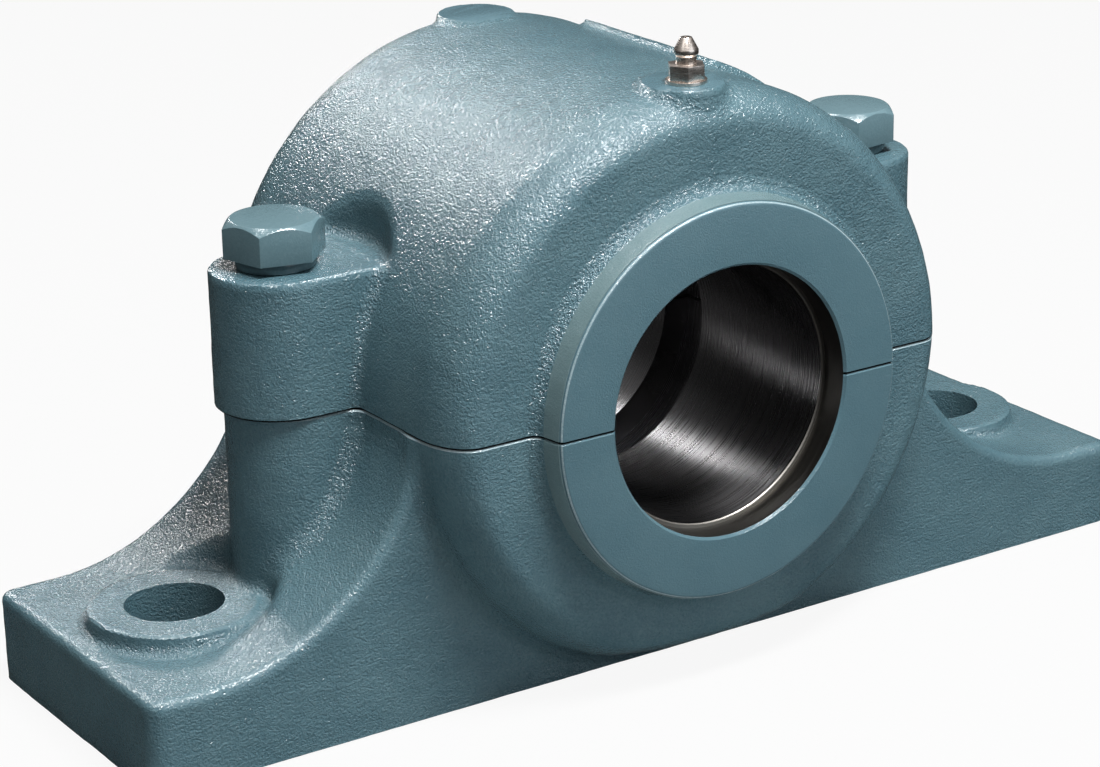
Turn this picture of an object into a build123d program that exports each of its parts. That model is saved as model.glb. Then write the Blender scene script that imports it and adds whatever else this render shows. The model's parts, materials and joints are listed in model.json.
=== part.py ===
from build123d import *
import math
import os

# Split plummer block: a cast-iron pillow-block housing in two halves.
# Millimetres. X runs along the feet, Y along the shaft, Z up.
# The origin is the middle of the machined underside of the base.

# ---- housing, driving dimensions ----
housing_length = 322.0
foot_width = 93.0
foot_thickness = 25.0
foot_corner = 5.0
cast_edge = 2.5
centre_height = 79.0
barrel_radius = 82.0
barrel_half_width = 63.5
rim_round = 16.0
lower_barrel_lift = 3.5
boss_diameter = 109.0
boss_projection = 9.0
boss_draft = 1.5
boss_cove = 5.0
boss_edge = 0.8
crease_round = 3.0

# ---- bore ----
bore_diameter = 72.0
mouth_diameter = 74.4
mouth_depth = 8.5
mouth_chamfer = 0.7
groove_diameter = 88.0
groove_width = 18.0

# ---- concave sweep from the feet up to the barrel ----
sweep_inset = 1.8
foot_flat = 16.0

# ---- foot bolts ----
foot_bolt_inset = 31.0
foot_hole_diameter = 25.0
foot_hole_slot = 2.0
foot_pad_radius = 23.5
foot_pad_height = 5.0
foot_pad_flare = 3.0

# ---- cap bolts, M16 ----
cap_bolt_offset = 13.0
bolt_diameter = 16.0
bolt_length = 70.0
head_across_flats = 24.0
head_height = 10.0
head_chamfer_angle = 40.0
bolt_hole_diameter = 17.5
thread_depth = 34.0
thread_clearance = 0.1
cap_pillar_radius = 18.0
base_pillar_radius = 16.5
cap_pillar_height = 38.0
pillar_round = 5.0
pillar_edge = 1.5
spanner_radius = 24.0
spanner_height = 14.0
washer_thickness = 2.8
washer_outer = 24.0
washer_inner = 16.6
washer_slit = 2.5

# ---- locating dowels in the joint face ----
dowel_diameter = 8.0
dowel_length = 24.0
dowel_clearance = 0.05
dowel_x = 62.0
dowel_y = 26.0

# ---- grease nipple, M8 x 1 ----
nipple_offset = 52.0
nipple_thread = 8.0
nipple_thread_length = 5.5
nipple_across_flats = 9.0
nipple_hex_height = 4.0
nipple_neck = 5.4
nipple_neck_height = 2.0
nipple_head = 6.5
nipple_head_height = 5.0
nipple_tip = 3.0
nipple_bore = 2.9
nipple_inlet = 1.2
nipple_lip = 0.6
ball_diameter = 2.5
ball_clearance = 0.02
spring_wire = 0.35
spring_turns = 5
seal_washer_thickness = 1.0
seal_washer_outer = 11.0
crest_pad_radius = 13.0
crest_pad_offset = 47.5
crest_pad_length = 7.5
crest_pad_rise = 0.4
grease_duct = 4.0

# ---- values that follow ----
bore_radius = bore_diameter / 2
boss_radius = boss_diameter / 2
boss_face = barrel_half_width + boss_projection
bolt_x = barrel_radius + cap_bolt_offset
foot_end = housing_length / 2
foot_bolt_x = foot_end - foot_bolt_inset
sweep_x = foot_end - foot_flat
sweep_reach = barrel_radius - sweep_inset
sweep_drop = centre_height + lower_barrel_lift - foot_thickness
sweep_radius = (sweep_x**2 + sweep_drop**2 - sweep_reach**2) / (2 * (sweep_reach + sweep_drop))
shaft_axis = Axis((0, 0, centre_height), (0, 1, 0))
axis_plane = Plane.XY.offset(centre_height)
crest_pad_top = centre_height + barrel_radius + crest_pad_rise
pillar_top = centre_height + cap_pillar_height
nipple_foot = crest_pad_top + seal_washer_thickness
nipple_end = -seal_washer_thickness - nipple_thread_length
nipple_neck_top = nipple_hex_height + nipple_neck_height
nipple_top = nipple_neck_top + nipple_head_height
nipple_seat = nipple_top - 2 * nipple_tip / 3
tall = 4 * centre_height


def turned(points, roundings):
    """Solid of revolution about the shaft axis from (radius, y) points."""
    profile = make_face(Polyline(*points, close=True))
    for x, y, radius in roundings:
        corner = profile.vertices().sort_by_distance((x, y, 0))[0]
        profile = fillet(corner, radius)
    return revolve(axis_plane * profile, shaft_axis)


def shell(lift):
    """Plain round body between the end walls, with rolled rims."""
    rim = (barrel_radius, barrel_half_width)
    points = [(0, -rim[1]), (rim[0], -rim[1]), rim, (0, rim[1])]
    body = turned(points, [(rim[0], side * rim[1], rim_round) for side in (1, -1)])
    return Pos(0, 0, lift) * body


def bosses():
    """Proud machined ring on each end wall, with a cove at its root."""
    root = boss_radius + boss_draft
    skirt = root + boss_cove + boss_edge
    sunk = barrel_half_width - boss_cove / 2
    half = [(skirt, sunk), (skirt, barrel_half_width), (root, barrel_half_width), (boss_radius, boss_face)]
    rear = half + [(0, boss_face)]
    front = [(0, -boss_face)] + [(x, -y) for x, y in reversed(half)]
    roundings = [(root, side * barrel_half_width, boss_cove) for side in (1, -1)]
    roundings += [(boss_radius, side * boss_face, boss_edge) for side in (1, -1)]
    return turned(front + rear, roundings)


def barrel(lift=0):
    """Round body of the housing with the proud boss at each end."""
    return shell(lift) + bosses()


def bore():
    """Through bore: a chamfered mouth at each end, two lands and a grease groove."""
    mouth = mouth_diameter / 2
    groove = groove_diameter / 2
    land_end = boss_face - mouth_depth
    half = [
        (groove, groove_width / 2),
        (bore_radius, groove_width / 2),
        (bore_radius, land_end),
        (mouth, land_end),
        (mouth, boss_face - mouth_chamfer),
        (mouth + 2 * mouth_chamfer, boss_face + mouth_chamfer),
    ]
    rear = half + [(0, boss_face + mouth_chamfer)]
    front = [(0, -boss_face - mouth_chamfer)] + [(x, -y) for x, y in reversed(half)]
    return turned(front + rear, [])


def upright(x, y, radius, bottom, top):
    """Vertical cylinder between two heights."""
    cylinder = Cylinder(radius, top - bottom, align=(Align.CENTER, Align.CENTER, Align.MIN))
    return Pos(x, y, bottom) * cylinder


def pillar(radius, bottom, top):
    """Right-hand bolt pillar: a round column with flat cheeks that run into the barrel."""
    reach = bolt_x - boss_radius
    web = Box(reach, 2 * radius, top - bottom, align=(Align.MAX, Align.CENTER, Align.MIN))
    return upright(bolt_x, 0, radius, bottom, top) + Pos(bolt_x, 0, bottom) * web


def pair(solid):
    """The same form on the right and on the left."""
    return solid + mirror(solid, about=Plane.YZ)


def feet():
    """Slab with both feet and the concave sweeps that climb to the barrel, left deep below."""
    top = centre_height + 2 * pillar_round
    sweep_z = foot_thickness + sweep_radius
    rise = sweep_z - top
    inner_x = sweep_x - math.sqrt(sweep_radius**2 - rise**2)
    bend = (math.pi + math.asin(rise / sweep_radius) + math.pi / 2 * 3) / 2
    middle = (sweep_x + sweep_radius * math.cos(bend), sweep_z + sweep_radius * math.sin(bend))
    sweep = ThreePointArc((sweep_x, foot_thickness), middle, (inner_x, top))
    floor = -barrel_radius
    foot = Polyline((0, floor), (foot_end, floor), (foot_end, foot_thickness), (sweep_x, foot_thickness))
    inner = Polyline((inner_x, top), (0, top), (0, floor))
    outline = make_face(foot + sweep + inner)
    outline = outline + mirror(outline, about=Plane.YZ)
    slab = extrude(Plane.XZ * outline, foot_width / 2, both=True)
    corners = slab.edges().filter_by(Axis.Z).filter_by(lambda e: abs(e.center().X) > foot_end - 1)
    slab = fillet(corners, foot_corner)
    rims = slab.edges().filter_by(
        lambda e: abs(e.center().X) > foot_end - 1 and abs(e.center().Z - foot_thickness) < 0.1
    )
    return fillet(rims, cast_edge)


def crease_edges(body):
    """Arcs where the round barrel leaves the flat front and rear of the base."""
    return body.edges().filter_by(
        lambda e: e.geom_type == GeomType.CIRCLE
        and abs(abs(e.center().Y) - foot_width / 2) < 0.01
        and abs(e.arc_center.X) < 0.01
        and e.radius > boss_radius
    )


def cheek_edges(body, radius):
    """Upright creases where the flat cheeks of the pillars meet the barrel."""
    return body.edges().filter_by(
        lambda e: abs(abs(e.center().Y) - radius) < 0.01
        and boss_radius < abs(e.center().X) <= barrel_radius
        and e.length > cast_edge
    )


def foot_pad(side):
    """Raised round seat for the foot bolt, flared into the foot."""
    top = foot_thickness + foot_pad_height
    flare_z = foot_thickness + foot_pad_flare
    edge_x = foot_pad_radius + foot_pad_flare
    flare = RadiusArc((foot_pad_radius, flare_z), (edge_x, foot_thickness), -foot_pad_flare)
    wall = Polyline((0, 0), (0, top), (foot_pad_radius, top), (foot_pad_radius, flare_z))
    under = Polyline((edge_x, foot_thickness), (foot_pad_radius, 0), (0, 0))
    pad = revolve(Plane.XZ * make_face(wall + flare + under), Axis.Z)
    rim = pad.edges().filter_by(lambda e: abs(e.center().Z - top) < 0.01)
    return Pos(side * foot_bolt_x, 0, 0) * fillet(rim, boss_edge)


def foot_holes():
    """Slotted holes for the two foot bolts."""
    slot = SlotCenterToCenter(foot_hole_slot, foot_hole_diameter)
    height = foot_thickness + foot_pad_height
    return pair(Pos(foot_bolt_x, 0, -1) * extrude(slot, height + 2))


def dowels(diameter, margin):
    """The two locating dowels on a diagonal of the joint face."""
    places = Locations((dowel_x, -dowel_y, centre_height), (-dowel_x, dowel_y, centre_height))
    return [place * Cylinder(diameter / 2, dowel_length + 2 * margin) for place in places]


def box_between(x, y, z):
    """Box from its three pairs of limits."""
    corner = Pos(x[0], y[0], z[0])
    return corner * Box(x[1] - x[0], y[1] - y[0], z[1] - z[0], align=Align.MIN)


def above(z):
    """Everything over a height."""
    return box_between((-tall, tall), (-tall, tall), (z, tall))


def below(z):
    """Everything under a height."""
    return box_between((-tall, tall), (-tall, tall), (-tall, z))


def make_base():
    """Lower half: feet, lower barrel, bolt pillars, joint face and bore."""
    body = feet() + barrel(lower_barrel_lift)
    body = fillet(crease_edges(body), crease_round)
    column_top = centre_height + 2 * pillar_round
    body = body + pair(pillar(base_pillar_radius, foot_thickness, column_top))
    body = fillet(cheek_edges(body, base_pillar_radius), pillar_round)
    body = body + foot_pad(1) + foot_pad(-1)
    body = body - above(centre_height) - below(0) - bore() - foot_holes()
    thread = bolt_diameter / 2 + thread_clearance
    body = body - pair(upright(bolt_x, 0, thread, centre_height - thread_depth, tall))
    for hole in dowels(dowel_diameter + 2 * dowel_clearance, dowel_clearance):
        body = body - hole
    return body


def crest_pad(side):
    """Flat seat for a grease nipple, just proud of the crest."""
    outline = SlotCenterToCenter(crest_pad_length, 2 * crest_pad_radius, rotation=90)
    middle = crest_pad_offset - crest_pad_length / 2
    foot_z = centre_height + boss_radius + boss_cove
    pad = Pos(0, side * middle, foot_z) * extrude(outline, crest_pad_top - foot_z)
    return fillet(pad.edges().filter_by(lambda e: abs(e.center().Z - crest_pad_top) < 0.01), pillar_edge)


def grease_way():
    """Threaded seat of the nipple and the inclined duct to the groove of the bore."""
    seat_bottom = crest_pad_top - nipple_thread_length - 1.5
    seat = upright(0, -nipple_offset, nipple_thread / 2 + thread_clearance, seat_bottom, tall)
    start = Vector(0, -nipple_offset, seat_bottom + 1)
    finish = Vector(0, 0, centre_height + bore_radius)
    run = finish - start
    duct = Plane(origin=start, z_dir=run) * Cylinder(
        grease_duct / 2, run.length, align=(Align.CENTER, Align.CENTER, Align.MIN)
    )
    return seat + duct


def make_cap():
    """Upper half: barrel, bolt pillars, crest pads, bore and grease way."""
    column = pillar(cap_pillar_radius, centre_height - 2 * pillar_round, pillar_top)
    body = barrel() + pair(column)
    body = fillet(cheek_edges(body, cap_pillar_radius), pillar_round)
    rims = body.edges().filter_by(lambda e: abs(e.center().Z - pillar_top) < 0.01)
    body = fillet(rims, pillar_edge)
    body = body - pair(upright(bolt_x, 0, spanner_radius, pillar_top, pillar_top + spanner_height))
    body = body + crest_pad(1) + crest_pad(-1)
    body = body - below(centre_height) - bore() - grease_way()
    body = body - pair(upright(bolt_x, 0, bolt_hole_diameter / 2, centre_height - 1, tall))
    for hole in dowels(dowel_diameter + 2 * dowel_clearance, dowel_clearance):
        body = body - hole
    return body


def make_bolt(side):
    """Hexagon-head screw with the bearing chamfer on top of the head."""
    seat = pillar_top + washer_thickness
    blank = extrude(RegularPolygon(head_across_flats / 2, 6, major_radius=False), head_height)
    corner_radius = head_across_flats / math.sqrt(3)
    flat_radius = 0.95 * head_across_flats / 2
    drop = (corner_radius - flat_radius) * math.tan(math.radians(head_chamfer_angle))
    crown = make_face(
        Polyline(
            (0, 0),
            (corner_radius, 0),
            (corner_radius, head_height - drop),
            (flat_radius, head_height),
            (0, head_height),
            close=True,
        )
    )
    head = blank & revolve(Plane.XZ * crown, Axis.Z)
    shank = Cylinder(bolt_diameter / 2, bolt_length, align=(Align.CENTER, Align.CENTER, Align.MAX))
    tip = shank.edges().sort_by(Axis.Z)[0]
    return Pos(side * bolt_x, 0, seat) * (head + chamfer(tip, 1.0))


def make_spring_washer(side):
    """Split spring washer, pulled flat under the head."""
    ring = upright(0, 0, washer_outer / 2, 0, washer_thickness)
    ring = ring - upright(0, 0, washer_inner / 2, -1, washer_thickness + 1)
    slit = Pos(0, washer_outer / 2, washer_thickness / 2) * Rot(0, 25, 0) * Box(
        washer_slit, washer_outer, 3 * washer_thickness
    )
    return Pos(side * bolt_x, 0, pillar_top) * (ring - slit)


def at_nipple(height):
    """Place on the axis of the nipple, measured from the underside of its hexagon."""
    return Pos(0, -nipple_offset, nipple_foot + height)


def make_nipple():
    """Straight grease nipple with a hollow stem; its head is a truncated cone over a neck."""
    outline = make_face(
        Polyline(
            (0, nipple_end),
            (nipple_thread / 2, nipple_end),
            (nipple_thread / 2, 0),
            (nipple_neck / 2, nipple_hex_height),
            (nipple_neck / 2, nipple_neck_top),
            (nipple_head / 2, nipple_neck_top + 0.15 * nipple_head_height),
            (nipple_head / 2, nipple_neck_top + 0.35 * nipple_head_height),
            (nipple_tip / 2, nipple_top),
            (0, nipple_top),
            close=True,
        )
    )
    hexagon = RegularPolygon(nipple_across_flats / 2, 6, major_radius=False)
    body = revolve(Plane.XZ * outline, Axis.Z) + extrude(hexagon, nipple_hex_height)
    hollow = make_face(
        Polyline(
            (0, nipple_end - 1),
            (nipple_inlet, nipple_end - 1),
            (nipple_inlet, nipple_end + nipple_lip),
            (nipple_bore / 2, nipple_end + nipple_lip),
            (nipple_bore / 2, nipple_seat - nipple_bore / 2),
            (nipple_inlet / 2, nipple_seat),
            (nipple_inlet / 2, nipple_top + 1),
            (0, nipple_top + 1),
            close=True,
        )
    )
    return at_nipple(0) * (body - revolve(Plane.XZ * hollow, Axis.Z))


def make_seal_washer():
    """Flat washer under the hexagon of the nipple."""
    disc = upright(0, 0, seal_washer_outer / 2, -seal_washer_thickness, 0)
    return at_nipple(0) * (disc - upright(0, 0, nipple_thread / 2 + thread_clearance, -tall, tall))


def ball_height():
    """Height of the check ball's centre when it rests on the conical seat."""
    slope = (nipple_bore - nipple_inlet) / nipple_bore
    reach = (ball_diameter / 2 + ball_clearance) * math.sqrt(1 + slope**2)
    return nipple_seat - (reach - nipple_inlet / 2) / slope


def make_ball():
    """Check ball, pressed up against its conical seat."""
    return at_nipple(ball_height()) * Sphere(ball_diameter / 2)


def make_spring():
    """Compression spring of square wire between the lip of the stem and the ball."""
    start = nipple_end + nipple_lip + spring_wire
    height = ball_height() - ball_diameter / 2 - spring_wire - start
    path = Helix(height / spring_turns, height, nipple_bore / 2 - spring_wire)
    section = Plane(origin=path @ 0, z_dir=path % 0) * RegularPolygon(spring_wire / 2, 4)
    return at_nipple(start) * sweep(section, path)


dowel_right, dowel_left = dowels(dowel_diameter, 0)
pieces = {
    "base": make_base(),
    "cap": make_cap(),
    "cap_bolt_right": make_bolt(1),
    "cap_bolt_left": make_bolt(-1),
    "spring_washer_right": make_spring_washer(1),
    "spring_washer_left": make_spring_washer(-1),
    "dowel_pin_right": dowel_right,
    "dowel_pin_left": dowel_left,
    "grease_nipple": make_nipple(),
    "nipple_washer": make_seal_washer(),
    "nipple_ball": make_ball(),
    "nipple_spring": make_spring(),
}

os.makedirs("parts", exist_ok=True)
for name, solid in pieces.items():
    export_step(solid, "parts/" + name + ".step")
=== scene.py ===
import json
import math
import bmesh
import bpy
import numpy as np
from mathutils import Matrix, Vector, noise


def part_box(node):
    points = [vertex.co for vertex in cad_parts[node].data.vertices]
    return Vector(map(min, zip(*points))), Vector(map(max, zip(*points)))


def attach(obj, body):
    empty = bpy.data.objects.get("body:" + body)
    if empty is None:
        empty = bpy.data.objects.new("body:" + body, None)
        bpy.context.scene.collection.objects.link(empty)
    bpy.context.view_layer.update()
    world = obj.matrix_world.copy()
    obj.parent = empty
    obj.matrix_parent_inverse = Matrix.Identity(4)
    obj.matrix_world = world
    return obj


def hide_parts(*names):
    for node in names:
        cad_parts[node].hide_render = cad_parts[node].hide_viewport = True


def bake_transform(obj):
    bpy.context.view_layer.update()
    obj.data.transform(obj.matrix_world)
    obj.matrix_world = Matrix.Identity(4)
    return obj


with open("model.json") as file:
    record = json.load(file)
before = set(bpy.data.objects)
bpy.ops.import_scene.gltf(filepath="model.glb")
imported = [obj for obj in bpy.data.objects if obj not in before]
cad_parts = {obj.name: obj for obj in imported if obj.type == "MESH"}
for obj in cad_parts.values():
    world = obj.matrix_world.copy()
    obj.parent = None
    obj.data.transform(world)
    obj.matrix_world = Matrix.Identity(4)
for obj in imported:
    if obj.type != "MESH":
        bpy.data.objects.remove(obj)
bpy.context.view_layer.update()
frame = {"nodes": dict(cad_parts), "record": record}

# ======== Cap and base castings ========
# Two grey-iron sand castings that meet at the height of the shaft axis. Barrel, bosses, pillars
# and feet run into each other with cast fillets. Only the bosses' faces, crest pads, bore, joint
# and underside are machined. All sizes here are in millimetres.

mounts = {mount["name"]: mount for mount in frame["record"]["mounts"]}
base_low, base_high = (corner * 1000 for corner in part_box("base"))
cap_low, cap_high = (corner * 1000 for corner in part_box("cap"))
bolt_low, bolt_high = (corner * 1000 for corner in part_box("cap_bolt_right"))
washer_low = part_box("spring_washer_right")[0] * 1000

axis_height = mounts["shaft_bore"]["pos_m"][2] * 1000
bore_radius = mounts["shaft_bore"]["dims"]["r_mm"]
bore_length = mounts["shaft_bore"]["dims"]["length_mm"]
foot_bolt_x = mounts["foot_bolts"]["dims"]["spacing_x_mm"] / 2
foot_hole_radius = mounts["foot_bolts"]["dims"]["hole_r_mm"]
foot_hole_slot = mounts["foot_bolts"]["dims"]["slot_length_mm"] - 2 * foot_hole_radius
bolt_x = (bolt_low.x + bolt_high.x) / 2
pillar_top = washer_low.z
crest_top = cap_high.z
boss_face = cap_high.y
cap_column = cap_high.x - bolt_x

boss_rise = 9.0
boss_radius, boss_cove, boss_edge = 54.5, 2.5, 1.0
boss_draft = 1.5 / boss_rise
boss_rim = boss_radius - 0.3 - boss_edge
barrel_radius = 82.0
barrel_half = boss_face - boss_rise
rim_run, rim_drop = 16.0, 10.0
base_barrel_lift = 3.5
groove_radius, groove_half = 44.0, 9.0
mouth_step, mouth_chamfer, land_chamfer = 1.2, 0.7, 0.3
base_column, pillar_inset = cap_column - 0.4, 2.2
cheek_fillet, root_fillet = 2.2, 4.0
screw_room_radius, screw_hole_radius, screw_hole_depth = 8.75, 8.1, 34.0
spanner_room, spanner_corner, spanner_edge = 30.0, 2.5, 1.7
ledge_radius, ledge_stock = 15.0, 0.8
pad_radius, pad_middle = 11.4, 50.5
pad_edge, pad_fillet, pad_stock, pad_depth = 1.6, 1.3, 0.5, 30.0
plate_turn, plate_rise = 0.53, 2.0
plate_half_width, plate_half_length, plate_middle = 14.0, 32.0, 9.0
plate_corner, plate_edge, plate_fillet = 3.0, 0.7, 1.2
half_foot, foot_height = 46.5, 25.0
foot_corner, foot_edge = 5.0, 2.5
sweep_radius = 65.0
sweep_start = base_high.x - 16.0
bed_slope, bed_rise, bed_edge = 0.42, 0.8, 5.0
web_crease, crease_growth, crease_start, crease_run = 0.6, 2.6, 38.0, 5.0
seat_radius, seat_height = 23.5, 30.0
seat_edge, seat_fillet = 1.3, 2.4
seat_room, seat_room_depth, seat_room_corner = 3.0, 2.0, 4.0
stock = 3.0


def joined(a, b, fillet):
    """Union of two bodies, given as signed distances, with a round fillet in the crease."""
    crease = np.hypot(np.maximum(fillet - a, 0), np.maximum(fillet - b, 0))
    return np.maximum(fillet, np.minimum(a, b)) - crease


def trimmed(a, b, edge):
    """What lies in both bodies, with the edge between them rounded."""
    corner = np.hypot(np.maximum(edge + a, 0), np.maximum(edge + b, 0))
    return np.minimum(-edge, np.maximum(a, b)) + corner


def barrel(x, y, z, lift):
    """Round body with oval rims that turn tightest where they meet the end walls."""
    across = np.hypot(x, z - axis_height - lift) - (barrel_radius - rim_drop)
    along = np.abs(y) - (barrel_half - rim_run)
    across, along = np.broadcast_arrays(across, along)
    plain = np.maximum(across - rim_drop, along - rim_run)
    reach = np.hypot(across / rim_drop, along / rim_run)
    slope = np.hypot(across / rim_drop**2, along / rim_run**2)
    rim = reach * (reach - 1) / np.maximum(slope, 1e-6)
    return np.where((across > 0) & (along > 0), rim, plain)


def boss(x, y, z):
    """Drafted ring on both end walls, left long for facing."""
    skirt = boss_radius + boss_draft * (boss_face - np.abs(y))
    return np.maximum(np.hypot(x, z - axis_height) - skirt, np.abs(y) - boss_face - stock)


def column(x, y, z, middle, radius, top):
    """Bolt pillars on both sides, with flat cheeks that run into the barrel."""
    side = np.hypot(np.maximum(np.abs(x) - middle, 0), y) - radius
    return np.maximum(side, z - top)


def sunk(x, y, z, body, middle, radius, floor, corner, edge):
    """A cast body with round room sunk into it from above, on the right and on the left."""
    reach = np.hypot(np.abs(x) - middle, y) - (radius - corner)
    depth = floor + corner - z
    room = np.hypot(np.maximum(reach, 0), np.maximum(depth, 0))
    room = room + np.minimum(np.maximum(reach, depth), 0) - corner
    return trimmed(body, -room, edge)


def name_plate(x, y, z):
    """Low bare plate along the right of the crest, curved with the barrel."""
    across = np.abs(np.arctan2(x, z - axis_height) - plate_turn) * barrel_radius - plate_half_width
    along = np.abs(y - plate_middle) - plate_half_length
    plan = np.hypot(np.maximum(across + plate_corner, 0), np.maximum(along + plate_corner, 0))
    plan = plan + np.minimum(np.maximum(across, along) + plate_corner, 0) - plate_corner
    return trimmed(plan, np.hypot(x, z - axis_height) - barrel_radius - plate_rise, plate_edge)


def cap_form(x, y, z):
    """Signed distance to the cap as cast."""
    body = joined(barrel(x, y, z, 0), boss(x, y, z), boss_cove)
    pillar = column(x, y, z, bolt_x, cap_column, pillar_top + ledge_stock)
    body = joined(body, pillar, cheek_fillet)
    body = sunk(x, y, z, body, bolt_x, spanner_room, pillar_top, spanner_corner, spanner_edge)
    pad = np.hypot(x, np.abs(y) - pad_middle) - pad_radius
    pad = trimmed(pad, z - crest_top - pad_stock, pad_edge)
    pad = np.maximum(pad, crest_top - pad_depth - z)
    body = joined(body, pad, pad_fillet)
    body = joined(body, name_plate(x, y, z), plate_fillet)
    return np.maximum(body, axis_height - stock - z)


def base_form(x, y, z):
    """Signed distance to the base as cast."""
    round_part = joined(barrel(x, y, z, base_barrel_lift), boss(x, y, z), boss_cove)
    bed = (bed_slope * (np.abs(y) - half_foot) + bed_rise - z) / math.hypot(1, bed_slope)
    round_part = trimmed(round_part, bed, bed_edge)
    sweep = np.minimum(np.abs(x) - sweep_start, 0)
    top = sweep_radius - np.hypot(sweep, z - foot_height - sweep_radius)
    plan_x = np.abs(x) - base_high.x + foot_corner
    plan_y = np.abs(y) - half_foot + foot_corner
    plan = np.hypot(np.maximum(plan_x, 0), np.maximum(plan_y, 0))
    plan = plan + np.minimum(np.maximum(plan_x, plan_y), 0) - foot_corner
    slab = trimmed(top, plan, foot_edge)
    towards_wall = np.clip((np.abs(y) - crease_start) / crease_run, 0, 1)
    body = joined(slab, round_part, web_crease + crease_growth * towards_wall)
    room, floor = seat_radius + seat_room, seat_height - seat_room_depth
    body = sunk(x, y, z, body, foot_bolt_x, room, floor, seat_room_corner, seat_room_corner)
    pillar = column(x, y, z, bolt_x - pillar_inset, base_column, axis_height + 2 * stock)
    body = joined(body, pillar, root_fillet)
    seat = np.hypot(np.abs(x) - foot_bolt_x, y) - seat_radius
    seat = trimmed(seat, z - seat_height, seat_edge)
    body = joined(body, seat, seat_fillet)
    body = np.maximum(body, z - axis_height - stock)
    return np.maximum(body, -stock - z)


def slope_of(form, points):
    """Gradient of a signed distance at each point."""
    step = 0.05
    sides = []
    for direction in np.eye(3) * step:
        ahead = form(*(points + direction).T)
        behind = form(*(points - direction).T)
        sides.append((ahead - behind) / (2 * step))
    return np.stack(sides, axis=1)


def skin(form, low, high, cell):
    """Closed skin of quads at the zero of a signed distance: one point in each cell that it crosses."""
    grid = [np.arange(a, b, cell) for a, b in zip(low, high)]
    field = form(*np.ix_(*grid))
    corners, crossings = [], []
    for axis in range(3):
        u, v = (axis + 1) % 3, (axis + 2) % 3
        inner = [slice(1, -1)] * 3
        inner[axis] = slice(0, -1)
        lower = field[tuple(inner)]
        inner[axis] = slice(1, None)
        upper = field[tuple(inner)]
        edges = np.argwhere((lower < 0) != (upper < 0))
        at_lower, at_upper = lower[tuple(edges.T)], upper[tuple(edges.T)]
        start = edges + 1
        start[:, axis] -= 1
        crossing = start.astype(float)
        crossing[:, axis] += at_lower / (at_lower - at_upper)
        around = np.repeat(start[:, None, :], 4, axis=1)
        for k, (du, dv) in enumerate(((0, 0), (-1, 0), (-1, -1), (0, -1))):
            around[:, k, u] += du
            around[:, k, v] += dv
        flip = at_lower >= 0
        around[flip] = around[flip][:, ::-1]
        corners.append(np.ravel_multi_index(around.reshape(-1, 3).T, field.shape))
        crossings.append(np.repeat(crossing, 4, axis=0))
    crossings = np.concatenate(crossings)
    _, index = np.unique(np.concatenate(corners), return_inverse=True)
    count = np.bincount(index)
    points = [np.bincount(index, weights=crossings[:, k]) / count for k in range(3)]
    points = np.stack(points, axis=1) * cell + np.array([g[0] for g in grid])
    for _ in range(3):
        slope = slope_of(form, points)
        points -= slope * (form(*points.T) / np.maximum((slope**2).sum(1), 0.2))[:, None]
    return points, index.reshape(-1, 4)


def sand_cast(points, slope):
    """Shallow unevenness that the sand mould leaves, held off the ledges under the screws."""
    x, y, z = np.abs(points[:, 0]), points[:, 1], points[:, 2]
    on_ledge = (np.abs(z - pillar_top) < 0.6) & (np.hypot(x - bolt_x, y) < ledge_radius)
    keep = np.where(on_ledge, 0.0, 1.0)
    sway = np.full(len(points), -0.22)
    for height, length in ((0.14, 19), (0.10, 7.5), (0.07, 3.1)):
        sway += [height * noise.noise(Vector(p) / length) for p in points]
    normal = slope / np.linalg.norm(slope, axis=1)[:, None]
    return points + normal * (np.minimum(sway, -0.02) * keep)[:, None]


def solid(name, points, faces):
    """Mesh object from millimetre points."""
    mesh = bpy.data.meshes.new(name)
    mesh.from_pydata((np.asarray(points, float) / 1000).tolist(), [], [list(f) for f in faces])
    mesh.update()
    made = bpy.data.objects.new(name, mesh)
    bpy.context.scene.collection.objects.link(made)
    return made


def lathe(name, profile, steps, centre=(0, 0), along="y"):
    """Closed turned body from (radius, height) points that start and end on its axis."""
    points, faces = [], []
    rings = []
    for radius, height in profile:
        if radius == 0:
            rings.append([len(points)])
            points.append((0, 0, height))
        else:
            rings.append(range(len(points), len(points) + steps))
            turn = np.arange(steps) * 2 * math.pi / steps
            points += [(radius * math.cos(t), radius * math.sin(t), height) for t in turn]
    for low, high in zip(rings, rings[1:]):
        for k in range(steps):
            n = (k + 1) % steps
            corners = [low[k % len(low)], low[n % len(low)], high[n % len(high)], high[k % len(high)]]
            faces.append(list(dict.fromkeys(corners)))
    if along == "y":
        points = [(px + centre[0], h, centre[1] - py) for px, py, h in points]
    else:
        points = [(px + centre[0], py + centre[1], h) for px, py, h in points]
    made = solid(name, points, faces)
    outward(made.data)
    return made


def outward(mesh):
    """All faces of a closed mesh turned to point out."""
    work = bmesh.new()
    work.from_mesh(mesh)
    bmesh.ops.remove_doubles(work, verts=work.verts, dist=1e-7)
    bmesh.ops.recalc_face_normals(work, faces=work.faces)
    work.to_mesh(mesh)
    work.free()


def block(name, low, high):
    """Plain box between two corners, used as a milling cutter."""
    points = [(x, y, z) for x in (low[0], high[0]) for y in (low[1], high[1]) for z in (low[2], high[2])]
    faces = [(0, 1, 3, 2), (4, 6, 7, 5), (0, 4, 5, 1), (2, 3, 7, 6), (0, 2, 6, 4), (1, 5, 7, 3)]
    made = solid(name, points, faces)
    outward(made.data)
    return made


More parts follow.
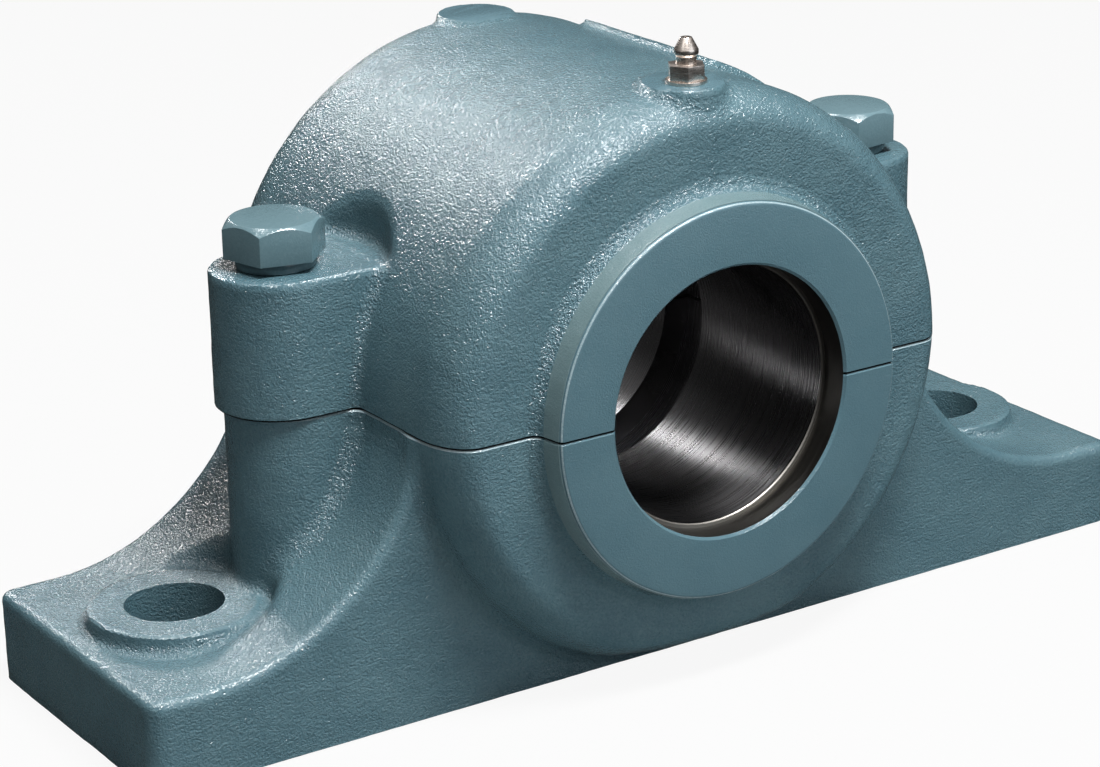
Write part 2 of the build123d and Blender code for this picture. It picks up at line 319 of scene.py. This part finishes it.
def cutters(top_side):
    """Tools that machine one casting: mill, boring bar, facing heads and drills."""
    tools = []
    reach = 1000
    if top_side:
        tools.append(block("mill", (-reach, -reach, -reach), (reach, reach, axis_height)))
        tools.append(block("pad_mill", (-30, -reach, crest_top), (30, reach, reach)))
    else:
        tools.append(block("mill", (-reach, -reach, axis_height), (reach, reach, reach)))
        tools.append(block("bed_mill", (-reach, -reach, -reach), (reach, reach, 0)))
    land_end, mouth = bore_length / 2, bore_radius + mouth_step
    past_face = boss_face + mouth_chamfer
    half_bar = [(groove_radius, groove_half), (bore_radius, groove_half)]
    half_bar += [(bore_radius, land_end - land_chamfer), (bore_radius + land_chamfer, land_end)]
    half_bar += [(mouth, land_end), (mouth, boss_face - mouth_chamfer)]
    half_bar += [(mouth + 2 * mouth_chamfer, past_face)]
    bar = [(0, -past_face)] + [(r, -y) for r, y in reversed(half_bar)] + half_bar + [(0, past_face)]
    tools.append(lathe("boring_bar", bar, 256, (0, axis_height)))
    arc = [math.radians(90 - a) for a in range(0, 91, 15)]
    rim = [(boss_rim + boss_edge * math.cos(a), boss_face - boss_edge * (1 - math.sin(a))) for a in arc]
    head_radius, head_back = boss_radius + 9, boss_face + 9
    for side in (-1, 1):
        face = [(0, boss_face)] + rim + [(head_radius, boss_face - boss_edge)]
        face += [(head_radius, head_back), (0, head_back)]
        tools.append(lathe("facing_head", [(r, side * y) for r, y in face], 192, (0, axis_height)))
    hole = screw_room_radius if top_side else screw_hole_radius
    foot = axis_height - (1 if top_side else screw_hole_depth)
    for side in (-1, 1):
        drill = [(0, foot), (hole, foot), (hole, pillar_top + 40), (0, pillar_top + 40)]
        tools.append(lathe("drill", drill, 48, (side * bolt_x, 0), "z"))
        if not top_side:
            tools.append(slot_drill(side))
    return tools


def slot_drill(side):
    """Long hole for a foot bolt."""
    ring, steps = [], 64
    for k in range(steps):
        t = 2 * math.pi * k / steps
        shift = foot_hole_slot / 2 * (1 if math.cos(t) >= 0 else -1)
        end = side * foot_bolt_x + shift
        ring.append((end + foot_hole_radius * math.cos(t), foot_hole_radius * math.sin(t)))
    points = [(x, y, z) for z in (-9, seat_height + 9) for x, y in ring]
    faces = [(k, (k + 1) % steps, steps + (k + 1) % steps, steps + k) for k in range(steps)]
    faces += [tuple(range(steps)), tuple(range(steps, 2 * steps))]
    made = solid("slot_drill", points, faces)
    outward(made.data)
    return made


def machined(blank, tools):
    """The casting after its tools have cut it, as one plain mesh."""
    for tool in tools:
        cut = blank.modifiers.new(tool.name, "BOOLEAN")
        cut.operation = "DIFFERENCE"
        cut.solver = "MANIFOLD"
        cut.object = tool
        tool.hide_render = True
    mesh = bpy.data.meshes.new_from_object(blank.evaluated_get(bpy.context.evaluated_depsgraph_get()))
    blank.modifiers.clear()
    blank.data = mesh
    for tool in tools:
        bpy.data.objects.remove(tool)
    return blank


def break_joint_edge(mesh, side, width):
    """Small chamfer round the outside of the joint face."""
    work = bmesh.new()
    work.from_mesh(mesh)
    level = axis_height / 1000
    inner, hole_reach = (bore_radius + 4) / 1000, 10 / 1000
    everything = work.verts[:] + work.edges[:] + work.faces[:]
    cut = (0, 0, level + side * width / 1000)
    bmesh.ops.bisect_plane(work, geom=everything, plane_co=cut, plane_no=(0, 0, 1))
    for corner in [v for v in work.verts if abs(v.co.z - level) < 1e-6]:
        walls = [f.normal for f in corner.link_faces if abs(f.normal.z) < 0.9]
        at_bore = abs(corner.co.x) < inner and abs(corner.co.y) < (boss_face - 0.5) / 1000
        at_hole = math.hypot(abs(corner.co.x) - bolt_x / 1000, corner.co.y) < hole_reach
        if walls and not at_bore and not at_hole:
            push = sum(walls, Vector())
            push.z = 0
            corner.co -= push.normalized() * width * 0.8 / 1000
    work.to_mesh(mesh)
    work.free()


def coarseness(form, points):
    """How coarse the sand surface is: coarser in creases and on edges, smooth on the bosses' flanks."""
    step = 1.2
    bend = -6 * form(*points.T)
    for direction in np.eye(3) * step:
        bend += form(*(points + direction).T) + form(*(points - direction).T)
    bend = bend / step**2
    coarse = 1 + 0.7 * np.clip(-bend * 6 - 0.4, 0, 1) - 0.35 * np.clip(bend * 6 - 0.8, 0, 1)
    from_axis = np.hypot(points[:, 0], points[:, 2] - axis_height)
    off_flank = np.clip((from_axis - boss_radius - 1.6) / 0.8, 0, 1)
    off_flank = np.maximum(off_flank, np.clip((boss_face - 5.0 - np.abs(points[:, 1])) / 2, 0, 1))
    dressed = 0.12
    return coarse * (dressed + (1 - dressed) * off_flank)


castings = {}
cell = 1.0
joint_break = {"cap": 0.65, "base": 0.45}
for name, form, low, high in (
    ("cap", cap_form, cap_low, cap_high),
    ("base", base_form, base_low, base_high),
):
    margin = stock + 3
    points, faces = skin(form, [v - margin for v in low], [v + margin for v in high], cell)
    points = sand_cast(points, slope_of(form, points))
    blank = solid(name + "_casting", points, faces)
    machined(blank, cutters(name == "cap"))
    break_joint_edge(blank.data, 1 if name == "cap" else -1, joint_break[name])
    corners = np.array([corner.co for corner in blank.data.vertices]) * 1000
    grain = blank.data.attributes.new("grain", "FLOAT", "POINT")
    grain.data.foreach_set("value", coarseness(form, corners))
    castings[name] = blank
    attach(blank, "housing")
    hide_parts(name)


def enamel_group():
    """Node group of the enamel: orange peel over the sand surface, mottled tone and uneven gloss."""
    tree = bpy.data.node_groups.new("enamel_skin", "ShaderNodeTree")
    for label, default in (("Grain Height", 0.5), ("Grain Size", 1.0), ("Mottle", 0.5)):
        socket = tree.interface.new_socket(label, in_out="INPUT", socket_type="NodeSocketFloat")
        socket.default_value = default
    tree.interface.new_socket("Tone", in_out="OUTPUT", socket_type="NodeSocketFloat")
    tree.interface.new_socket("Roughness", in_out="OUTPUT", socket_type="NodeSocketFloat")
    tree.interface.new_socket("Normal", in_out="OUTPUT", socket_type="NodeSocketVector")
    given = tree.nodes.new("NodeGroupInput")
    result = tree.nodes.new("NodeGroupOutput")
    place = tree.nodes.new("ShaderNodeTexCoord")
    scale = tree.nodes.new("ShaderNodeVectorMath")
    scale.operation = "SCALE"
    tree.links.new(place.outputs["Object"], scale.inputs[0])
    tree.links.new(given.outputs["Grain Size"], scale.inputs["Scale"])
    height = None
    layers = {}
    for label, size, detail, warp, share in (
        ("speck", 2700, 1.0, 0.0, 0.30),
        ("peel", 1450, 1.0, 0.6, 1.0),
        ("lump", 430, 2.0, 0.4, 0.25),
        ("cloud", 45, 3.0, 0.0, 0.0),
    ):
        layer = tree.nodes.new("ShaderNodeTexNoise")
        layer.inputs["Scale"].default_value = size
        layer.inputs["Detail"].default_value = detail
        layer.inputs["Distortion"].default_value = warp
        tree.links.new(scale.outputs[0], layer.inputs["Vector"])
        layers[label] = layer
        if share:
            add = tree.nodes.new("ShaderNodeMath")
            add.operation = "MULTIPLY_ADD"
            tree.links.new(layer.outputs[0], add.inputs[0])
            add.inputs[1].default_value = share
            add.inputs[2].default_value = 0.0
            if height:
                tree.links.new(height.outputs[0], add.inputs[2])
            height = add
    relief = tree.nodes.new("ShaderNodeMath")
    relief.operation = "MULTIPLY"
    tree.links.new(height.outputs[0], relief.inputs[0])
    tree.links.new(given.outputs["Grain Height"], relief.inputs[1])
    bump = tree.nodes.new("ShaderNodeBump")
    bump.inputs["Strength"].default_value = 1.0
    bump.inputs["Distance"].default_value = 0.001
    tree.links.new(relief.outputs[0], bump.inputs["Height"])
    tree.links.new(bump.outputs[0], result.inputs["Normal"])
    shade = tree.nodes.new("ShaderNodeMath")
    shade.operation = "ADD"
    tree.links.new(layers["cloud"].outputs[0], shade.inputs[0])
    tree.links.new(layers["peel"].outputs[0], shade.inputs[1])
    tone = tree.nodes.new("ShaderNodeMapRange")
    tone.inputs["From Min"].default_value = 0.72
    tone.inputs["From Max"].default_value = 1.28
    tone.inputs["To Min"].default_value = 0.0
    tree.links.new(shade.outputs[0], tone.inputs["Value"])
    tree.links.new(given.outputs["Mottle"], tone.inputs["To Max"])
    tree.links.new(tone.outputs[0], result.inputs["Tone"])
    gloss = tree.nodes.new("ShaderNodeMapRange")
    gloss.inputs["From Min"].default_value = 0.3
    gloss.inputs["From Max"].default_value = 0.7
    gloss.inputs["To Min"].default_value = 0.15
    gloss.inputs["To Max"].default_value = 0.25
    tree.links.new(layers["lump"].outputs[0], gloss.inputs["Value"])
    tree.links.new(gloss.outputs[0], result.inputs["Roughness"])
    return tree


enamel_skin = enamel_group()


def enamel(name, grain_height, grain_size, dark, light, follows_casting=False):
    """Blue-grey machine enamel over iron; on a casting the relief follows how coarse the sand was."""
    material = bpy.data.materials.new(name)
    material.use_nodes = True
    tree = material.node_tree
    shader = tree.nodes["Principled BSDF"]
    shader.inputs["IOR"].default_value = 1.7
    surface = tree.nodes.new("ShaderNodeGroup")
    surface.node_tree = enamel_skin
    surface.inputs["Grain Height"].default_value = grain_height
    surface.inputs["Grain Size"].default_value = grain_size
    surface.inputs["Mottle"].default_value = 1.0
    if follows_casting:
        grain = tree.nodes.new("ShaderNodeAttribute")
        grain.attribute_name = "grain"
        amount = tree.nodes.new("ShaderNodeMath")
        amount.operation = "MULTIPLY"
        amount.inputs[1].default_value = grain_height
        tree.links.new(grain.outputs["Fac"], amount.inputs[0])
        tree.links.new(amount.outputs[0], surface.inputs["Grain Height"])
    colour = tree.nodes.new("ShaderNodeMix")
    colour.data_type = "RGBA"
    colour.inputs["A"].default_value = (*dark, 1)
    colour.inputs["B"].default_value = (*light, 1)
    tree.links.new(surface.outputs["Tone"], colour.inputs["Factor"])
    tree.links.new(colour.outputs["Result"], shader.inputs["Base Color"])
    tree.links.new(surface.outputs["Roughness"], shader.inputs["Roughness"])
    tree.links.new(surface.outputs["Normal"], shader.inputs["Normal"])
    return material


cast_enamel = enamel("cast_enamel", 0.46, 1.0, (0.062, 0.128, 0.156), (0.094, 0.172, 0.198), True)
faced_enamel = enamel("faced_enamel", 0.10, 1.4, (0.072, 0.142, 0.172), (0.086, 0.160, 0.190))
# Smooth enamel on the bosses' flanks, coloured lighter than the casting: the lighter tone is a painted
# highlight.
flank_enamel = enamel("flank_enamel", 0.10, 1.4, (0.115, 0.178, 0.188), (0.140, 0.208, 0.218))
joint_shadow = enamel("joint_shadow", 0.10, 1.4, (0.002, 0.003, 0.003), (0.004, 0.005, 0.006))
joint_shadow.node_tree.nodes["Principled BSDF"].inputs["Specular IOR Level"].default_value = 0.02
# Light enamel on the middle of the boss rims and on the base's joint chamfer: a painted highlight along
# these edges.
rubbed_edge = enamel("rubbed_edge", 0.15, 1.4, (0.20, 0.29, 0.32), (0.32, 0.41, 0.44))


def turned_steel(name, colour, rough_low, rough_high, lay, mark_depth):
    """Bare machined metal; lay stretches the tool marks along each axis."""
    material = bpy.data.materials.new(name)
    material.use_nodes = True
    tree = material.node_tree
    shader = tree.nodes["Principled BSDF"]
    shader.inputs["Metallic"].default_value = 1.0
    place = tree.nodes.new("ShaderNodeTexCoord")
    stretch = tree.nodes.new("ShaderNodeMapping")
    stretch.inputs["Scale"].default_value = lay
    marks = tree.nodes.new("ShaderNodeTexNoise")
    marks.inputs["Scale"].default_value = 1.0
    marks.inputs["Detail"].default_value = 4.0
    tree.links.new(place.outputs["Object"], stretch.inputs["Vector"])
    tree.links.new(stretch.outputs[0], marks.inputs["Vector"])
    rough = tree.nodes.new("ShaderNodeMapRange")
    rough.inputs["From Min"].default_value = 0.3
    rough.inputs["From Max"].default_value = 0.7
    rough.inputs["To Min"].default_value = rough_low
    rough.inputs["To Max"].default_value = rough_high
    tree.links.new(marks.outputs[0], rough.inputs["Value"])
    tree.links.new(rough.outputs[0], shader.inputs["Roughness"])
    tone = tree.nodes.new("ShaderNodeMix")
    tone.data_type = "RGBA"
    tone.inputs["A"].default_value = (*[c * 0.8 for c in colour], 1)
    tone.inputs["B"].default_value = (*[min(1, c * 1.2) for c in colour], 1)
    tree.links.new(marks.outputs[0], tone.inputs["Factor"])
    tree.links.new(tone.outputs["Result"], shader.inputs["Base Color"])
    bump = tree.nodes.new("ShaderNodeBump")
    bump.inputs["Distance"].default_value = mark_depth
    tree.links.new(marks.outputs[0], bump.inputs["Height"])
    tree.links.new(bump.outputs[0], shader.inputs["Normal"])
    return material


bore_steel = turned_steel("bore_steel", (0.22, 0.215, 0.22), 0.24, 0.32, (25, 2600, 25), 0.00003)
shader = bore_steel.node_tree.nodes["Principled BSDF"]
shader.inputs["Anisotropic"].default_value = 0.75
along_bore = bore_steel.node_tree.nodes.new("ShaderNodeCombineXYZ")
along_bore.inputs["Y"].default_value = 1.0
bore_steel.node_tree.links.new(along_bore.outputs[0], shader.inputs["Tangent"])
# Lighter turned iron on the land chamfer and the step at each bore mouth: a painted highlight ring.
step_steel = turned_steel("step_steel", (0.40, 0.38, 0.35), 0.35, 0.45, (25, 2600, 25), 0.00002)
mouth_steel = turned_steel("mouth_steel", (0.12, 0.115, 0.105), 0.32, 0.44, (25, 2600, 25), 0.00002)
milled_iron = turned_steel("milled_iron", (0.30, 0.30, 0.30), 0.35, 0.55, (60, 2500, 60), 0.00003)

finishes = [cast_enamel, faced_enamel, bore_steel, milled_iron, joint_shadow, rubbed_edge]
finishes += [flank_enamel, step_steel, mouth_steel]
for casting in castings.values():
    mesh = casting.data
    mesh.materials.clear()
    for material in finishes:
        mesh.materials.append(material)
    count = len(mesh.polygons)
    middle, normal = np.zeros(count * 3), np.zeros(count * 3)
    mesh.polygons.foreach_get("center", middle)
    mesh.polygons.foreach_get("normal", normal)
    middle, normal = middle.reshape(-1, 3) * 1000, normal.reshape(-1, 3)
    from_axis = np.hypot(middle[:, 0], middle[:, 2] - axis_height)
    out = np.abs(middle[:, 1])
    from_joint = middle[:, 2] - axis_height
    across, along = from_axis - boss_rim, out - boss_face + boss_edge
    on_rim = np.abs(np.hypot(across, along) - boss_edge) < 0.03
    cap_break = (from_joint > 0.001) & (from_joint < joint_break["cap"])
    base_break = (from_joint < -0.001) & (from_joint > -joint_break["base"])
    bored = (from_axis < groove_radius + 2) & (out < boss_face - 0.8)
    level = np.abs(normal[:, 2]) > 0.999
    places = (
        # Bosses' flanks: painted highlight.
        (flank_enamel, (out > barrel_half + 2.4) & (from_axis < boss_radius + 2.2)),
        (faced_enamel, out > boss_face - 0.9),
        # Boss rims: painted highlight.
        (rubbed_edge, on_rim & (across > 0.4) & (along > 0.4)),
        (faced_enamel, middle[:, 2] > crest_top - 0.1),
        (joint_shadow, cap_break),
        # Base's joint chamfer: painted highlight under the joint line.
        (rubbed_edge, base_break & (from_axis > boss_radius + 1)),
        (bore_steel, bored),
        # Land chamfer and step: painted highlight ring.
        (step_steel, bored & (out > bore_length / 2 - land_chamfer - 0.01)),
        (mouth_steel, bored & (out > bore_length / 2 + 0.01)),
        (milled_iron, level & (np.abs(from_joint) < 0.001)),
        (milled_iron, level & (np.abs(middle[:, 2]) < 0.001)),
    )
    kind = np.zeros(count, int)
    for finish, where in places:
        kind[where] = finishes.index(finish)
    mesh.polygons.foreach_set("material_index", kind)
    mesh.polygons.foreach_set("use_smooth", np.ones(count, bool))
    mesh.set_sharp_from_angle(angle=math.radians(28))
    mesh.update()

# ======== Cap screws and spring washers ========
# Hexagon-head screws of forged steel hold the cap down over split spring washers. Both are
# painted together with the housing.


def refined(node, width, segments=3, turn=0.0, spread=1.0):
    """Copy of a piece with its facets merged and its sharp edges broken, turned on its own axis."""
    mesh = frame["nodes"][node].data.copy()
    low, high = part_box(node)
    middle = Vector(((low.x + high.x) / 2, (low.y + high.y) / 2, 0))
    place = Matrix.Rotation(math.radians(turn), 4, "Z") @ Matrix.Diagonal((spread, spread, 1, 1))
    mesh.transform(Matrix.Translation(middle) @ place @ Matrix.Translation(-middle))
    work = bmesh.new()
    work.from_mesh(mesh)
    bmesh.ops.remove_doubles(work, verts=work.verts, dist=1e-6)
    bmesh.ops.dissolve_limit(work, angle_limit=math.radians(0.6), verts=work.verts, edges=work.edges)
    work.to_mesh(mesh)
    work.free()
    mesh.materials.clear()
    made = bpy.data.objects.new(node + "_dressed", mesh)
    bpy.context.scene.collection.objects.link(made)
    bevel = made.modifiers.new("edge", "BEVEL")
    bevel.width = width
    bevel.segments = segments
    bevel.limit_method = "ANGLE"
    bevel.angle_limit = math.radians(24)
    made.data = bpy.data.meshes.new_from_object(made.evaluated_get(bpy.context.evaluated_depsgraph_get()))
    made.modifiers.clear()
    made.data.polygons.foreach_set("use_smooth", np.ones(len(made.data.polygons), bool))
    made.data.set_sharp_from_angle(angle=math.radians(24))
    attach(made, "housing")
    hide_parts(node)
    return made


# The screws take a lighter copy of the housing enamel: painted light on the heads.
screw_enamel = enamel("screw_enamel", 0.05, 1.0, (0.098, 0.172, 0.196), (0.118, 0.196, 0.222))
# The washers take a darker copy of it: painted shade under the screw heads.
washer_enamel = enamel("washer_enamel", 0.05, 1.0, (0.040, 0.080, 0.095), (0.055, 0.100, 0.115))
for side, turn in (("right", 5), ("left", -14)):
    screw = refined("cap_bolt_" + side, 0.00035, 3, turn)
    screw.data.materials.append(screw_enamel)
    ring = refined("spring_washer_" + side, 0.0003, 3, turn, 0.92)
    ring.data.materials.append(washer_enamel)

# ======== Grease nipple ========
# Straight nipple of nickel-plated brass, turned and milled, screwed down on a thin washer.

plated = turned_steel("plated_nipple", (0.74, 0.66, 0.60), 0.20, 0.34, (300, 300, 6000), 0.000006)
for node in ("grease_nipple", "nipple_washer"):
    turned = refined(node, 0.00018, 2)
    turned.data.materials.append(plated)

bright_steel = turned_steel("bright_steel", (0.6, 0.6, 0.62), 0.2, 0.3, (400, 400, 400), 0.00001)
for node in ("nipple_ball", "dowel_pin_right", "dowel_pin_left"):
    carried = frame["nodes"][node]
    carried.data.materials.clear()
    carried.data.materials.append(bright_steel)

# ======== Nipple spring ========
# Fine coil spring of hard-drawn wire in the nipple's drilling. Its lower end stands on the
# drilling's step, and its upper end bears on the check ball.

coil = bpy.data.objects.new("nipple_spring_dressed", frame["nodes"]["nipple_spring"].data.copy())
bpy.context.scene.collection.objects.link(coil)
coil.data.materials.clear()
coil.data.materials.append(bright_steel)
low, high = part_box("nipple_spring")
middle = (low + high) / 2
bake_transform(coil)
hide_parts("nipple_spring")

# ======== Floor, light and camera ========
# Plain pale studio: a white floor just below the base, a soft light overhead and weaker ones in
# front and on the left. Two more behind show only as the sheen on the crest and in the bore.

floor_half, floor_level = 6000, -0.3
around = ((-1, -1), (1, -1), (1, 1), (-1, 1))
ground = [(floor_half * x, floor_half * y, floor_level) for x, y in around]
floor = solid("floor", ground, [(0, 1, 2, 3)])
white = bpy.data.materials.new("floor_white")
white.use_nodes = True
nodes, links = white.node_tree.nodes, white.node_tree.links
paper = nodes["Principled BSDF"]
paper.inputs["Base Color"].default_value = (0.35, 0.35, 0.35, 1)
paper.inputs["Roughness"].default_value = 0.8
glow = nodes.new("ShaderNodeEmission")
ray = nodes.new("ShaderNodeLightPath")
power = nodes.new("ShaderNodeMapRange")
power.inputs["To Min"].default_value = 0.04
power.inputs["To Max"].default_value = 1.0
links.new(ray.outputs["Is Camera Ray"], power.inputs["Value"])
links.new(power.outputs[0], glow.inputs["Strength"])
share = nodes.new("ShaderNodeMath")
share.operation = "MULTIPLY_ADD"
share.inputs[1].default_value = 0.92
links.new(ray.outputs["Is Camera Ray"], share.inputs[0])
links.new(ray.outputs["Is Glossy Ray"], share.inputs[2])
blend = nodes.new("ShaderNodeMixShader")
links.new(share.outputs[0], blend.inputs[0])
links.new(paper.outputs[0], blend.inputs[1])
links.new(glow.outputs[0], blend.inputs[2])
links.new(blend.outputs[0], nodes["Material Output"].inputs["Surface"])
floor.data.materials.append(white)

world = bpy.data.worlds.new("studio")
bpy.context.scene.world = world
world.use_nodes = True
nodes, links = world.node_tree.nodes, world.node_tree.links
sky = nodes["Background"]
sky.inputs["Color"].default_value = (1, 1, 1, 1)
ray = nodes.new("ShaderNodeLightPath")
direction = nodes.new("ShaderNodeTexCoord")
height = nodes.new("ShaderNodeSeparateXYZ")
links.new(direction.outputs["Generated"], height.inputs[0])
ceiling = nodes.new("ShaderNodeMapRange")
ceiling.interpolation_type = "SMOOTHSTEP"
ceiling.inputs["From Min"].default_value = 0.20
ceiling.inputs["From Max"].default_value = 0.75
ceiling.inputs["To Min"].default_value = 0.06
ceiling.inputs["To Max"].default_value = 0.45
links.new(height.outputs["Z"], ceiling.inputs["Value"])
mirror = nodes.new("ShaderNodeMix")
mirror.inputs["A"].default_value = 0.13
links.new(ray.outputs["Is Glossy Ray"], mirror.inputs["Factor"])
links.new(ceiling.outputs[0], mirror.inputs["B"])
level = nodes.new("ShaderNodeMath")
level.operation = "MAXIMUM"
links.new(mirror.outputs["Result"], level.inputs[0])
links.new(ray.outputs["Is Camera Ray"], level.inputs[1])
links.new(level.outputs[0], sky.inputs["Strength"])
housing_middle = Vector((0, 0, axis_height / 1000))


def softbox(name, place, width, depth, power, colour=(1, 1, 1)):
    """Soft light of a given width and depth that points at the middle of the housing."""
    lamp = bpy.data.lights.new(name, "AREA")
    lamp.shape = "RECTANGLE"
    lamp.size, lamp.size_y = width, depth
    lamp.energy = power
    lamp.color = colour
    made = bpy.data.objects.new(name, lamp)
    made.location = place
    aim = housing_middle - Vector(place)
    made.rotation_euler = aim.to_track_quat("-Z", "Y").to_euler()
    bpy.context.scene.collection.objects.link(made)
    return made


softbox("overhead", (0.06, -0.42, 1.22), 0.60, 0.18, 28)
softbox("front", (0.6, -1.8, 0.6), 1.6, 1.6, 9.4, (0.90, 0.98, 1.06))
softbox("left", (-0.8, -0.25, 1.1), 0.4, 0.4, 0.7)
for name, place, width, depth, power in (
    ("sheen", (-0.22, 0.34, 1.35), 0.42, 0.2, 5.2),
    ("gleam", (0.14, 1.39, 0.64), 0.2, 0.22, 8.0),
):
    softbox(name, place, width, depth, power).visible_diffuse = False

azimuth, elevation, roll = (math.radians(angle) for angle in (-33.1, 19.4, -1.1))
distance, shift_left, shift_down = 0.90525, 0.0084135, 0.0141645
level_back = Vector((math.sin(azimuth), -math.cos(azimuth), 0))
back = level_back * math.cos(elevation) + Vector((0, 0, math.sin(elevation)))
right = Vector((math.cos(azimuth), math.sin(azimuth), 0))
up = back.cross(right)
lens = bpy.data.cameras.new("camera")
lens.sensor_width = 36
lens.lens = 105.7
lens.clip_start, lens.clip_end = 0.05, 50
camera = bpy.data.objects.new("camera", lens)
bpy.context.scene.collection.objects.link(camera)
side_axis = right * math.cos(roll) + up * math.sin(roll)
up_axis = up * math.cos(roll) - right * math.sin(roll)
stand = housing_middle + back * distance - right * shift_left - up * shift_down
camera.matrix_world = Matrix.Translation(stand) @ Matrix((side_axis, up_axis, back)).transposed().to_4x4()
bpy.context.scene.camera = camera
bpy.context.scene.view_settings.view_transform = "Standard"
